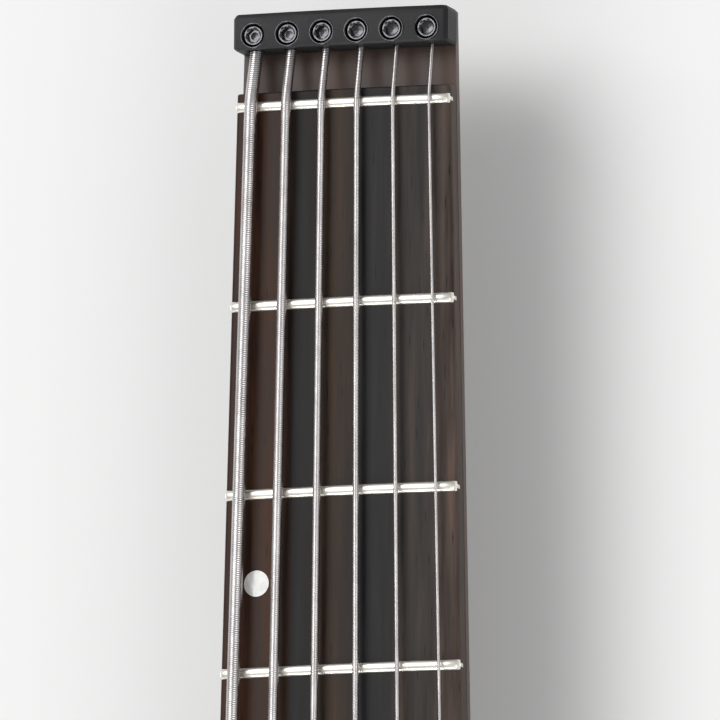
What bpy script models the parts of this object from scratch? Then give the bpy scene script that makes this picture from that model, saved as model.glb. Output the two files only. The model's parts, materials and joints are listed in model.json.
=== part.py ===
# Headless six-string bass guitar, lying on its back.
# The origin is on the floor under the middle of the outline.
# +X is the treble side, +Y points to the head, +Z is up, out of the fretboard.
# "Distance" below is measured from the zero fret towards the body, along -Y.
import math

import bmesh
import bpy
from mathutils import Vector

MM = 0.001
GAP = 0.3 * MM                      # clearance between pieces that touch
SMOOTH_ANGLE = math.radians(35)

# Strings, from the bass side to the treble side
STRING_NAMES = ("b", "e", "a", "d", "g", "c")
STRING_DIAMETERS = [d * MM for d in (3.3, 2.54, 2.03, 1.65, 1.14, 0.81)]
SCALE_LENGTH = 863.6 * MM
NUT_SPACING = 8.9 * MM              # between string centres at the zero fret
BRIDGE_SPACING = 17.3 * MM          # between string centres at the saddles
ACTION = 4.0 * MM                   # how much further the strings stand off at the saddles

# Neck and fretboard
NUT_WIDTH = 54.0 * MM
LAST_FRET_WIDTH = 84.0 * MM
FRET_COUNT = 24
FRET_WIDTH = 2.2 * MM
FRET_HEIGHT = 1.1 * MM
ZERO_FRET_WIDTH = 2.5 * MM
TANG_WIDTH = 0.6 * MM
TANG_DEPTH = 1.8 * MM
BOARD_RADIUS = 374.0 * MM
BOARD_THICKNESS = 6.0 * MM
BOARD_RISE = 10.0 * MM              # fretboard surface above the body's top
BOARD_NUT_END = 3.4 * MM            # board left in front of the zero fret
BOARD_BODY_END = 10.0 * MM          # board left behind the last fret
NECK_DEPTH = 15.0 * MM              # wood under the board along the playing length
HEEL_DEPTH = 18.0 * MM
HEEL_LENGTH = 78.0 * MM
HEEL_SLOPE = 34.0 * MM

# Truss rod
ROD_WIDTH = 6.0 * MM
ROD_HEIGHT = 9.0 * MM
ROD_COVER = 1.0 * MM                # wood line between the rod and the board
ROD_HEAD_STOP = 14.0 * MM           # where the rod's slot ends behind the zero fret
WHEEL_RADIUS = 5.5 * MM
WHEEL_LENGTH = 6.5 * MM
WHEEL_PIN_RADIUS = 1.5 * MM
WHEEL_PIN_LENGTH = 6.0 * MM
WHEEL_HOLE_RADIUS = 1.2 * MM

# Headpiece
HEADPIECE_WIDTH = 54.0 * MM
HEADPIECE_NEAR = 13.6 * MM          # its wall that faces the zero fret
HEADPIECE_LENGTH = 8.7 * MM
HEADPIECE_FACE = 3.0 * MM           # its face above the fretboard's surface
CLAMP_OFFSET = 3.4 * MM             # clamp screws behind the near wall
CLAMP_RADIUS = 2.6 * MM
CLAMP_SINK = 0.4 * MM
CLAMP_POINT_RADIUS = 1.0 * MM       # narrow point that bears on the string
HEX_RADIUS = 1.6 * MM
HEX_DEPTH = 0.9 * MM
STRING_EXIT = -2.2 * MM             # undersides of the strings at the near wall
STRING_FLOOR = -4.6 * MM            # undersides of the strings below the clamp screws
STRING_TAIL_IN = 6.6 * MM           # string end behind the near wall

# Body
BODY_THICKNESS = 40.0 * MM
BODY_WIDTH = 330.0 * MM
BODY_TAIL = 86.0 * MM               # flat tail behind the saddle line
BODY_EDGE = 8.0 * MM                # width of the rounded top edge
FOREARM_BEVEL = 26.0 * MM
OUTLINE_STEPS = 3                   # sampled points for each outline point

# Pickups
PICKUP_LENGTH = 110.0 * MM
PICKUP_WIDTH = 32.0 * MM
PICKUP_FLOOR = 22.0 * MM
PICKUP_TO_STRING = 3.0 * MM
NECK_PICKUP_OFFSET = 34.0 * MM      # centre behind the neck's end
BRIDGE_PICKUP_OFFSET = 62.0 * MM    # centre in front of the saddle line

# Bridge
PLATE_THICKNESS = 4.0 * MM
PLATE_FRONT = 16.0 * MM             # in front of the saddle line
PLATE_REAR = 58.0 * MM              # behind the saddle line
PLATE_SIDE = 3.7 * MM               # wall beside the outer channels
RAIL_HEIGHT = 4.5 * MM
TAIL_WALL = 5.0 * MM
TAIL_WALL_HEIGHT = 9.0 * MM
CHANNEL_WIDTH = 13.6 * MM
SADDLE_FRONT = 5.0 * MM
SADDLE_REAR = 7.0 * MM
CARRIAGE_FRONT = 20.0 * MM          # behind the saddle line
CARRIAGE_LENGTH = 22.0 * MM
CARRIAGE_HEIGHT = 12.4 * MM
CARRIAGE_TRAVEL = 6.0 * MM
STRING_BORE_HEIGHT = 8.5 * MM       # string bore above the plate's floor
STRING_BORE_DEPTH = 17.5 * MM
STRING_IN_CARRIAGE = 10.5 * MM
TUNER_HEIGHT = 3.5 * MM             # threaded rod's axis above the plate's floor
TUNER_ROD_RADIUS = 2.0 * MM
TUNER_KNOB_RADIUS = 6.4 * MM
TUNER_KNOB_LENGTH = 14.0 * MM
TUNER_COLLAR_RADIUS = 4.0 * MM
TUNER_COLLAR_LENGTH = 2.0 * MM

# Controls
CAVITY_LEFT = 74.0 * MM
CAVITY_RIGHT = 122.0 * MM
CAVITY_FRONT = 82.0 * MM            # in front of the saddle line
CAVITY_REAR = 38.0 * MM             # behind the saddle line
CAVITY_CORNER = 10.0 * MM
TOP_WOOD = 5.0 * MM                 # wood left above the control cavity
COVER_LIP = 4.0 * MM
COVER_THICKNESS = 2.4 * MM
CONTROL_NAMES = ("volume", "blend", "tone")
CONTROL_X = 104.0 * MM
CONTROL_FIRST = -54.0 * MM          # from the saddle line
CONTROL_PITCH = 36.0 * MM
KNOB_RADIUS = 8.5 * MM
KNOB_HEIGHT = 14.0 * MM
POT_RADIUS = 8.0 * MM
POT_HEIGHT = 9.0 * MM
BUSHING_RADIUS = 3.8 * MM
BUSHING_RISE = 1.6 * MM
SHAFT_RADIUS = 2.6 * MM
SWITCH_X = 84.0 * MM
SWITCH_OFFSET = -36.0 * MM
SWITCH_BODY = (7.0 * MM, 12.0 * MM, 9.0 * MM)
SWITCH_BUSHING_RADIUS = 3.1 * MM
SWITCH_BUSHING_RISE = 5.0 * MM
LEVER_LENGTH = 11.0 * MM
LEVER_ROOT_RADIUS = 1.0 * MM
LEVER_TIP_RADIUS = 1.9 * MM
LEVER_BALL_RADIUS = 1.5 * MM
LEVER_PIVOT_DEPTH = 2.2 * MM        # below the bushing's rim

# Fasteners, socket and strap buttons
BOLT_RADIUS = 2.5 * MM
BOLT_HEAD_RADIUS = 5.0 * MM
BOLT_HEAD_HEIGHT = 3.0 * MM
BOLT_IN_NECK = 12.0 * MM
BOLT_SPREAD = 21.0 * MM
BOLT_REAR = 11.0 * MM               # rear pair in front of the neck's end
BOLT_PITCH = 17.0 * MM
BUTTON_RADIUS = 7.0 * MM
BUTTON_WAIST = 4.0 * MM
BUTTON_LENGTH = 11.0 * MM
BUTTON_SINK = 1.5 * MM
BUTTON_SCREW_RADIUS = 1.8 * MM
BUTTON_SCREW_LENGTH = 22.0 * MM
TAIL_BUTTON_X = -98.0 * MM
JACK_RADIUS = 6.0 * MM
JACK_LENGTH = 38.0 * MM
JACK_FLANGE_RADIUS = 10.0 * MM
JACK_FLANGE = 2.0 * MM
JACK_SOCKET_RADIUS = 3.4 * MM
JACK_SOCKET_DEPTH = 32.0 * MM

# Places that follow from the sizes above
BODY_TOP = BODY_THICKNESS
BOARD_TOP = BODY_TOP + BOARD_RISE
GLUE_LINE = BOARD_TOP - BOARD_THICKNESS
HEEL_BOTTOM = GLUE_LINE - HEEL_DEPTH
LAST_FRET = SCALE_LENGTH * (1 - 2 ** (-FRET_COUNT / 12))
NECK_END = LAST_FRET + BOARD_BODY_END
HEADPIECE_FAR = HEADPIECE_NEAR + HEADPIECE_LENGTH
TAIL_LINE = SCALE_LENGTH + BODY_TAIL
BUTTON_PROUD = BUTTON_LENGTH - BUTTON_SINK
OVERALL_LENGTH = HEADPIECE_FAR + TAIL_LINE + BUTTON_PROUD
NUT_Y = OVERALL_LENGTH / 2 - HEADPIECE_FAR
PLATE_FLOOR = BODY_TOP + GAP + PLATE_THICKNESS
ROD_AXIS = GLUE_LINE - ROD_COVER - ROD_HEIGHT / 2
MIDDLE_STRING = (len(STRING_NAMES) - 1) / 2

# Outline of the body: across, the place it is measured from, and the distance from there.
# "neck" is the neck's end and "bridge" is the saddle line.
BODY_OUTLINE = (
    (-46, "neck", -52), (-55, "neck", -78), (-66, "neck", -122), (-80, "neck", -164),
    (-102, "neck", -184), (-126, "neck", -168), (-139, "neck", -118), (-137, "neck", -50),
    (-124, "neck", 26), (-128, "bridge", -116), (-149, "bridge", -54), (-163, "bridge", 6),
    (-152, "bridge", 56), (-124, "bridge", 84), (-98, "bridge", 88), (-76, "bridge", 84),
    (-60, "bridge", 66), (-32, "bridge", 60), (0, "bridge", 59), (32, "bridge", 60),
    (60, "bridge", 66), (76, "bridge", 84), (98, "bridge", 88), (124, "bridge", 84),
    (152, "bridge", 54), (163, "bridge", 2), (147, "bridge", -58), (122, "bridge", -122),
    (112, "neck", 16), (119, "neck", -34), (120, "neck", -74), (106, "neck", -102),
    (84, "neck", -98), (66, "neck", -66), (54, "neck", -40), (45, "neck", -30),
)


def clear_scene():
    for old in list(bpy.data.objects):
        bpy.data.objects.remove(old, do_unlink=True)


def material(name, color, roughness, metallic=0.0):
    result = bpy.data.materials.new(name)
    result.use_nodes = True
    shader = result.node_tree.nodes["Principled BSDF"]
    shader.inputs["Base Color"].default_value = (*color, 1.0)
    shader.inputs["Roughness"].default_value = roughness
    shader.inputs["Metallic"].default_value = metallic
    return result


def place(distance):
    """World Y of a distance from the zero fret towards the body."""
    return NUT_Y - distance


def fret_distance(number):
    return SCALE_LENGTH * (1 - 2 ** (-number / 12))


def board_width(distance):
    return NUT_WIDTH + (LAST_FRET_WIDTH - NUT_WIDTH) * distance / LAST_FRET


def crown(x):
    """How far the arched fretboard has dropped at x."""
    return x * x / (2 * BOARD_RADIUS)


def string_x(index, distance):
    share = min(distance / SCALE_LENGTH, 1.0)
    spacing = NUT_SPACING + (BRIDGE_SPACING - NUT_SPACING) * share
    return (index - MIDDLE_STRING) * spacing


def saddle_distance(index):
    """The thicker the string, the longer it sounds."""
    return SCALE_LENGTH + 1.0 * MM + 1.2 * STRING_DIAMETERS[index]


def string_rest(index, distance):
    """Height of the underside of a string between the zero fret and its saddle."""
    at_nut = BOARD_TOP - crown(string_x(index, 0)) + FRET_HEIGHT + GAP
    at_saddle = BOARD_TOP - crown(string_x(index, SCALE_LENGTH)) + FRET_HEIGHT + GAP + ACTION
    return at_nut + (at_saddle - at_nut) * distance / saddle_distance(index)


def finish(name, mesh_work, origin, surface, smooth=True):
    """Turn bmesh work, made in world coordinates, into an object with its origin where asked."""
    bmesh.ops.recalc_face_normals(mesh_work, faces=mesh_work.faces)
    bmesh.ops.translate(mesh_work, verts=mesh_work.verts, vec=-Vector(origin))
    mesh = bpy.data.meshes.new(name)
    mesh_work.to_mesh(mesh)
    mesh_work.free()
    if smooth:
        mesh.shade_smooth()
        mesh.set_sharp_from_angle(angle=SMOOTH_ANGLE)
    if surface:
        mesh.materials.append(surface)
    result = bpy.data.objects.new(name, mesh)
    result.location = origin
    bpy.context.collection.objects.link(result)
    return result


def lofted(rings):
    """Skin a list of rings that have equal counts of points, and cap both ends."""
    work = bmesh.new()
    loops = [[work.verts.new(point) for point in ring] for ring in rings]
    count = len(loops[0])
    for lower, upper in zip(loops, loops[1:]):
        for here in range(count):
            after = (here + 1) % count
            work.faces.new((lower[here], lower[after], upper[after], upper[here]))
    work.faces.new(list(reversed(loops[0])))
    work.faces.new(loops[-1])
    return work


def block(low, high):
    ring = [(low[0], low[1]), (high[0], low[1]), (high[0], high[1]), (low[0], high[1])]
    return lofted([[(x, y, z) for x, y in ring] for z in (low[2], high[2])])


def rounded_plan(low, high, radius, steps=4):
    """Corners of a rounded rectangle in plan, counter-clockwise."""
    centres = ((high[0] - radius, high[1] - radius), (low[0] + radius, high[1] - radius),
               (low[0] + radius, low[1] + radius), (high[0] - radius, low[1] + radius))
    points = []
    for quarter, (cx, cy) in enumerate(centres):
        for step in range(steps + 1):
            angle = (quarter + step / steps) * math.pi / 2
            points.append((cx + radius * math.cos(angle), cy + radius * math.sin(angle)))
    return points


def turned(profile, start, direction, sides):
    """Revolve (distance along the axis, radius) pairs about an axis."""
    axis = Vector(direction).normalized()
    helper = Vector((0, 0, 1)) if abs(axis.z) < 0.9 else Vector((1, 0, 0))
    across = axis.cross(helper).normalized()
    upward = axis.cross(across)
    rings = []
    for along, radius in profile:
        centre = Vector(start) + axis * along
        ring = []
        for side in range(sides):
            angle = 2 * math.pi * side / sides
            ring.append(centre + across * (radius * math.cos(angle)) + upward * (radius * math.sin(angle)))
        rings.append(ring)
    return lofted(rings)


def pin(start, direction, length, radius, sides=16):
    return turned([(0, radius), (length, radius)], start, direction, sides)


def cut(target, name, mesh_work):
    """Cut a shape out of the target."""
    cutter = finish("cut_" + name, mesh_work, (0, 0, 0), None, smooth=False)
    cutter.hide_render = True
    cutter.display_type = "WIRE"
    modifier = target.modifiers.new(name, "BOOLEAN")
    modifier.operation = "DIFFERENCE"
    modifier.solver = "EXACT"
    modifier.object = cutter


def smooth_outline(points, steps):
    """Closed Catmull-Rom curve through the points."""
    count = len(points)
    result = []
    for index in range(count):
        p0, p1, p2, p3 = (Vector(points[(index + shift) % count]) for shift in (-1, 0, 1, 2))
        for step in range(steps):
            t = step / steps
            result.append(0.5 * (2 * p1 + (p2 - p0) * t + (2 * p0 - 5 * p1 + 4 * p2 - p3) * t ** 2
                                 + (3 * p1 - p0 - 3 * p2 + p3) * t ** 3))
    return result


def body_outline():
    """Outline in world X and Y, as wide as BODY_WIDTH and with a flat tail."""
    starts = {"neck": NECK_END, "bridge": SCALE_LENGTH}
    points = [(x * MM, starts[where] + shift * MM) for x, where, shift in BODY_OUTLINE]
    curve = smooth_outline(points, OUTLINE_STEPS)
    left = BODY_WIDTH / 2 / -min(point.x for point in curve)
    right = BODY_WIDTH / 2 / max(point.x for point in curve)
    result = []
    for point in curve:
        x = point.x * (left if point.x < 0 else right)
        result.append(Vector((x, place(min(point.y, TAIL_LINE)))))
    return result


def outline_normals(outline):
    count = len(outline)
    normals = []
    for index in range(count):
        along = outline[(index + 1) % count] - outline[index - 1]
        normals.append(Vector((along.y, -along.x)).normalized())
    area = sum(a.x * b.y - a.y * b.x for a, b in zip(outline, outline[1:] + outline[:1]))
    return normals if area > 0 else [-normal for normal in normals]


def forearm(point):
    """How much of the forearm bevel the edge has at this point."""
    if point.x > 0:
        return 0.0
    reach = (place(SCALE_LENGTH) - point.y) / (75 * MM)
    side = min(max((-point.x - 60 * MM) / (80 * MM), 0.0), 1.0)
    return side * math.exp(-reach * reach)


def make_body(surface):
    outline = body_outline()
    normals = outline_normals(outline)
    levels = ((0, 4, 0), (1.2, 1.4, 0), (4, 0, 0), (BODY_THICKNESS / MM - 10, 0, 0),
              (BODY_THICKNESS / MM - 6, 0.1, 0.4), (BODY_THICKNESS / MM - 2.5, 0.4, 0.74),
              (BODY_THICKNESS / MM, 1.0, 1.0))
    rings = []
    for level, (height, edge, bevel) in enumerate(levels):
        ring = []
        for point, normal in zip(outline, normals):
            inset = edge * MM if level < 3 else edge * BODY_EDGE + bevel * FOREARM_BEVEL * forearm(point)
            spot = point - normal * inset
            ring.append((spot.x, spot.y, height * MM))
        rings.append(ring)
    body = finish("body", lofted(rings), (0, 0, 0), surface)
    cut_neck_pocket(body)
    cut_pickup_cavities(body)
    cut_control_cavity(body)
    return body


def neck_section(distance, depth, power):
    """Half-round to square cross-section of the neck, flat side up."""
    half = board_width(distance) / 2
    ring = []
    for step in range(15):
        angle = math.pi * step / 14
        across = math.copysign(abs(math.cos(angle)) ** (2 / power), math.cos(angle))
        down = math.sin(angle) ** (2 / power) if 0 < step < 14 else 0.0
        ring.append((half * across, place(distance), GLUE_LINE - depth * down))
    return ring


def cut_neck_pocket(body):
    front = NECK_END - 130 * MM
    rear = NECK_END + GAP
    rings = []
    for height in (HEEL_BOTTOM - GAP, BODY_TOP + 5 * MM):
        near = board_width(front) / 2 + GAP
        far = board_width(rear) / 2 + GAP
        rings.append([(-near, place(front), height), (-far, place(rear), height),
                      (far, place(rear), height), (near, place(front), height)])
    cut(body, "neck_pocket", lofted(rings))
    room = WHEEL_RADIUS + 1.5 * MM
    cut(body, "wheel_slot", block((-room, place(NECK_END + WHEEL_LENGTH + 3 * MM), ROD_AXIS - room),
                                  (room, place(NECK_END - 1 * MM), BODY_TOP + 5 * MM)))
    for name, x, distance in neck_bolt_places():
        cut(body, name + "_hole", pin((x, place(distance), -MM), (0, 0, 1), BODY_TOP, BOLT_RADIUS + GAP, 12))
        cut(body, name + "_seat", pin((x, place(distance), -MM), (0, 0, 1),
                                      BOLT_HEAD_HEIGHT + MM + 2 * GAP, BOLT_HEAD_RADIUS + GAP, 16))


def neck_bolt_places():
    places = []
    for number in range(4):
        x = BOLT_SPREAD * (-1 if number % 2 == 0 else 1)
        distance = NECK_END - BOLT_REAR - BOLT_PITCH * (number // 2)
        places.append(("neck_bolt_%d" % (number + 1), x, distance))
    return places


def pickup_places():
    return (("neck_pickup", NECK_END + NECK_PICKUP_OFFSET),
            ("bridge_pickup", SCALE_LENGTH - BRIDGE_PICKUP_OFFSET))


def pickup_plan(distance, spread):
    low = (-PICKUP_LENGTH / 2 - spread, place(distance) - PICKUP_WIDTH / 2 - spread)
    high = (PICKUP_LENGTH / 2 + spread, place(distance) + PICKUP_WIDTH / 2 + spread)
    return rounded_plan(low, high, 5 * MM + spread)


def cut_pickup_cavities(body):
    for name, distance in pickup_places():
        plan = pickup_plan(distance, GAP)
        rings = [[(x, y, z) for x, y in plan] for z in (PICKUP_FLOOR, BODY_TOP + 5 * MM)]
        cut(body, name + "_cavity", lofted(rings))


def control_places():
    return [(name, CONTROL_X, SCALE_LENGTH + CONTROL_FIRST + CONTROL_PITCH * number)
            for number, name in enumerate(CONTROL_NAMES)]


def cavity_plan(spread):
    low = (CAVITY_LEFT - spread, place(SCALE_LENGTH + CAVITY_REAR) - spread)
    high = (CAVITY_RIGHT + spread, place(SCALE_LENGTH - CAVITY_FRONT) + spread)
    return rounded_plan(low, high, CAVITY_CORNER + spread)


def cut_control_cavity(body):
    ceiling = BODY_TOP - TOP_WOOD
    cut(body, "control_cavity", lofted([[(x, y, z) for x, y in cavity_plan(0)] for z in (-MM, ceiling)]))
    lip = COVER_THICKNESS + 2 * GAP
    seat_plan = cavity_plan(COVER_LIP + GAP)
    cut(body, "cover_seat", lofted([[(x, y, z) for x, y in seat_plan] for z in (-MM, lip)]))
    for name, x, distance in control_places():
        cut(body, name + "_hole", pin((x, place(distance), ceiling - MM), (0, 0, 1), TOP_WOOD + 3 * MM,
                                      BUSHING_RADIUS + GAP))
    cut(body, "switch_hole", pin((SWITCH_X, place(SCALE_LENGTH + SWITCH_OFFSET), ceiling - MM), (0, 0, 1),
                                 TOP_WOOD + 3 * MM, SWITCH_BUSHING_RADIUS + GAP))


def make_cover(surface):
    plan = cavity_plan(COVER_LIP)
    cover = lofted([[(x, y, z) for x, y in plan] for z in (GAP, GAP + COVER_THICKNESS)])
    middle = ((CAVITY_LEFT + CAVITY_RIGHT) / 2, place(SCALE_LENGTH), 0)
    return finish("control_cover", cover, middle, surface)


def make_neck(surface):
    heel_start = NECK_END - HEEL_LENGTH
    square = 60.0
    stations = [(-HEADPIECE_FAR, NECK_DEPTH - 0.5 * MM, 2.4), (0, NECK_DEPTH - 0.5 * MM, 2.4),
                (heel_start / 2, NECK_DEPTH, 2.5), (heel_start, NECK_DEPTH + MM, 2.6),
                (heel_start + HEEL_SLOPE * 0.35, NECK_DEPTH + 1.6 * MM, 3.4),
                (heel_start + HEEL_SLOPE * 0.7, HEEL_DEPTH - 0.4 * MM, 6.0),
                (heel_start + HEEL_SLOPE, HEEL_DEPTH, square), (NECK_END, HEEL_DEPTH, square)]
    neck = finish("neck", lofted([neck_section(*station) for station in stations]), (0, 0, 0), surface)
    half = ROD_WIDTH / 2 + GAP
    cut(neck, "rod_slot", block((-half, place(NECK_END + 5 * MM), ROD_AXIS - ROD_HEIGHT / 2 - GAP),
                                (half, place(ROD_HEAD_STOP), GLUE_LINE + 5 * MM)))
    for name, x, distance in neck_bolt_places():
        cut(neck, name + "_thread", pin((x, place(distance), HEEL_BOTTOM - MM), (0, 0, 1),
                                        BOLT_IN_NECK + MM + GAP, BOLT_RADIUS + GAP, 12))
    return neck


def board_stations():
    """Distance and extra height along the fretboard, over every fret."""
    stations = [(-BOARD_NUT_END, 0.0)]
    for number in range(1, FRET_COUNT + 1):
        middle = fret_distance(number)
        for share, rise in ((-0.5, 0.0), (-0.27, 0.78), (0.0, 1.0), (0.27, 0.78), (0.5, 0.0)):
            stations.append((middle + share * FRET_WIDTH, rise * FRET_HEIGHT))
    stations.append((NECK_END, 0.0))
    return stations


def make_fretboard(surface):
    """Board with its arched top and the frets pressed into it."""
    rings = []
    bottom = GLUE_LINE + GAP
    segments = 6
    for distance, rise in board_stations():
        half = board_width(distance) / 2
        ring = [(-half, place(distance), bottom), (half, place(distance), bottom)]
        for step in range(segments + 1):
            x = half * (1 - 2 * step / segments)
            ring.append((x, place(distance), BOARD_TOP - crown(x) + rise))
        rings.append(ring)
    work = lofted(rings)
    flat = math.radians(0.02)
    bmesh.ops.dissolve_limit(work, angle_limit=flat, verts=work.verts, edges=work.edges)
    board = finish("fretboard", work, (0, place(0), GLUE_LINE), surface)
    half = TANG_WIDTH / 2 + GAP
    floor = BOARD_TOP - crown(NUT_WIDTH / 2) - TANG_DEPTH - GAP
    low = (-NUT_WIDTH, place(half), floor)
    high = (NUT_WIDTH, place(-half), BOARD_TOP + MM)
    cut(board, "zero_slot", block(low, high))
    return board


def make_zero_fret(surface):
    """Bent wire with a rounded crown and a tang in the board's slot."""
    half = ZERO_FRET_WIDTH / 2
    tang = TANG_WIDTH / 2
    section = ((-half, 0), (-0.54 * half, 0.78), (0, 1.0), (0.54 * half, 0.78), (half, 0),
               (tang, 0), (tang, -TANG_DEPTH), (-tang, -TANG_DEPTH), (-tang, 0))
    rings = []
    segments = 8
    reach = board_width(0) / 2 - GAP
    for step in range(segments + 1):
        x = reach * (2 * step / segments - 1)
        base = BOARD_TOP - crown(x) + GAP
        ring = []
        for along, height in section:
            lift = height * (FRET_HEIGHT - GAP) if height > 0 else height
            ring.append((x, place(0) + along, base + lift))
        rings.append(ring)
    return finish("zero_fret", lofted(rings), (0, place(0), BOARD_TOP), surface)


def string_exit_height(index):
    radius = STRING_DIAMETERS[index] / 2
    return BOARD_TOP + STRING_EXIT - crown(string_x(index, 0)) + radius


def string_floor_height(index):
    radius = STRING_DIAMETERS[index] / 2
    return BOARD_TOP + STRING_FLOOR + radius


def headpiece_section(distance, inset):
    """Bar section with the fretboard's arch on top and rounded shoulders."""
    half = HEADPIECE_WIDTH / 2 - inset
    shoulder = 0.9 * MM
    bottom = GLUE_LINE + GAP
    face = BOARD_TOP + HEADPIECE_FACE - inset
    ring = [(-half, place(distance), bottom), (half, place(distance), bottom),
            (half, place(distance), face - crown(half) - shoulder)]
    segments = 8
    for step in range(segments + 1):
        x = (half - shoulder) * (1 - 2 * step / segments)
        ring.append((x, place(distance), face - crown(x)))
    ring.append((-half, place(distance), face - crown(half) - shoulder))
    return ring


def make_headpiece(surface):
    edge = 0.5 * MM
    rings = [headpiece_section(-HEADPIECE_NEAR, edge), headpiece_section(-HEADPIECE_NEAR - edge, 0),
             headpiece_section(-HEADPIECE_FAR + 2 * edge, 0), headpiece_section(-HEADPIECE_FAR, edge)]
    middle = -HEADPIECE_NEAR - HEADPIECE_LENGTH / 2
    headpiece = finish("headpiece", lofted(rings), (0, place(middle), GLUE_LINE), surface)
    for index, name in enumerate(STRING_NAMES):
        half = STRING_DIAMETERS[index] / 2 + 0.4 * MM
        x = string_x(index, -HEADPIECE_NEAR)
        low = (x - half, place(-HEADPIECE_NEAR) - MM, string_floor_height(index) - half)
        far = place(-HEADPIECE_NEAR) + STRING_TAIL_IN + 0.5 * MM
        high = (x + half, far, string_exit_height(index) + half)
        cut(headpiece, "string_slot_" + name, block(low, high))
        axis = clamp_axis(index)
        cut(headpiece, "clamp_hole_" + name, pin((axis.x, axis.y, string_floor_height(index)), (0, 0, 1),
                                                 20 * MM, CLAMP_RADIUS + GAP, 18))
    return headpiece


def clamp_axis(index):
    distance = -HEADPIECE_NEAR - CLAMP_OFFSET
    x = string_x(index, distance)
    return Vector((x, place(distance), BOARD_TOP + HEADPIECE_FACE - crown(x) - CLAMP_SINK))


def make_clamp_screw(index, surface):
    """Set screw with a narrow point, a chamfered rim and a hexagon socket."""
    top = clamp_axis(index)
    radius = STRING_DIAMETERS[index] / 2
    foot = string_floor_height(index) + radius + GAP
    length = top.z - foot
    shoulder = string_exit_height(index) + radius + GAP - foot
    profile = [(0, CLAMP_POINT_RADIUS), (shoulder, CLAMP_POINT_RADIUS), (shoulder, CLAMP_RADIUS),
               (length - 0.3 * MM, CLAMP_RADIUS),
               (length, CLAMP_RADIUS - 0.3 * MM)]
    name = "clamp_screw_" + STRING_NAMES[index]
    screw = finish(name, turned(profile, (top.x, top.y, foot), (0, 0, 1), 18), top, surface)
    floor = (top.x, top.y, top.z - HEX_DEPTH)
    cut(screw, name + "_socket", pin(floor, (0, 0, 1), HEX_DEPTH + MM, HEX_RADIUS, 6))
    return screw


def string_drop(index):
    """How steeply a string falls from its saddle to its carriage's bore."""
    end = saddle_distance(index)
    crest = string_rest(index, end) + STRING_DIAMETERS[index] / 2
    return (crest - PLATE_FLOOR - STRING_BORE_HEIGHT) / (SCALE_LENGTH + CARRIAGE_FRONT - end)


def make_string(index, surface):
    """One string, from its clamp over the zero fret and its saddle into its carriage."""
    radius = STRING_DIAMETERS[index] / 2
    end = saddle_distance(index)
    mouth = SCALE_LENGTH + CARRIAGE_FRONT
    bore = PLATE_FLOOR + STRING_BORE_HEIGHT
    floor = string_floor_height(index)
    exit_height = string_exit_height(index)
    bend = 1.0 * MM
    top = string_rest(index, 0) + radius
    fall = (top - exit_height) / HEADPIECE_NEAR
    crest = string_rest(index, end) + radius
    drop = string_drop(index)
    route = [(-HEADPIECE_NEAR - STRING_TAIL_IN, floor), (-HEADPIECE_NEAR - 2.2 * MM, floor),
             (-HEADPIECE_NEAR, exit_height), (-2 * bend, top - fall * 1.5 * bend), (0, top),
             (end - bend, string_rest(index, end - bend) + radius), (end, crest - 0.3 * drop * bend),
             (end + 2 * bend, crest - 1.6 * drop * bend), (mouth, bore), (mouth + STRING_IN_CARRIAGE, bore)]
    curve = bpy.data.curves.new("string_" + STRING_NAMES[index], "CURVE")
    curve.dimensions = "3D"
    curve.bevel_depth = radius
    curve.bevel_resolution = 2
    curve.use_fill_caps = True
    spline = curve.splines.new("POLY")
    spline.points.add(len(route) - 1)
    for point, (distance, height) in zip(spline.points, route):
        point.co = (string_x(index, distance), place(distance), height, 1.0)
    curve.materials.append(surface)
    string = bpy.data.objects.new(curve.name, curve)
    bpy.context.collection.objects.link(string)
    return string


def make_pickup(name, distance, surface):
    """Soapbar cover that fills its cavity and stops short of the strings."""
    top = string_rest(0, distance) - PICKUP_TO_STRING
    rings = []
    for height, inset in ((PICKUP_FLOOR + GAP, 0), (top - 1.2 * MM, 0), (top, 1.2 * MM)):
        rings.append([(x, y, height) for x, y in pickup_plan(distance, -inset)])
    return finish(name, lofted(rings), (0, place(distance), BODY_TOP), surface)


def plate_half_width():
    return MIDDLE_STRING * BRIDGE_SPACING + CHANNEL_WIDTH / 2 + PLATE_SIDE


def tuner_axis(index):
    x = string_x(index, SCALE_LENGTH)
    return Vector((x, place(SCALE_LENGTH + PLATE_REAR), PLATE_FLOOR + TUNER_HEIGHT))


def make_bridge_plate(surface):
    """Base with a channel for each string and a wall that the tuners pull on."""
    half = plate_half_width()
    front = SCALE_LENGTH - PLATE_FRONT
    rear = SCALE_LENGTH + PLATE_REAR
    wall_top = PLATE_FLOOR + TAIL_WALL_HEIGHT
    profile = [(front, BODY_TOP + GAP), (rear, BODY_TOP + GAP), (rear, wall_top - MM), (rear - MM, wall_top),
               (rear - TAIL_WALL, wall_top), (rear - TAIL_WALL, PLATE_FLOOR + RAIL_HEIGHT),
               (front + 4 * MM, PLATE_FLOOR + RAIL_HEIGHT), (front, PLATE_FLOOR)]
    rings = [[(x, place(distance), height) for distance, height in profile] for x in (-half, half)]
    origin = (0, place(SCALE_LENGTH), BODY_TOP)
    plate = finish("bridge_plate", lofted(rings), origin, surface)
    for index, name in enumerate(STRING_NAMES):
        x = string_x(index, SCALE_LENGTH)
        low = (x - CHANNEL_WIDTH / 2, place(rear - TAIL_WALL), PLATE_FLOOR)
        high = (x + CHANNEL_WIDTH / 2, place(front - MM), PLATE_FLOOR + 20 * MM)
        cut(plate, "channel_" + name, block(low, high))
        start = tuner_axis(index) - Vector((0, MM, 0))
        cut(plate, "rod_hole_" + name, pin(start, (0, 1, 0), TAIL_WALL + 2 * MM, TUNER_ROD_RADIUS + GAP, 12))
    return plate


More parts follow.
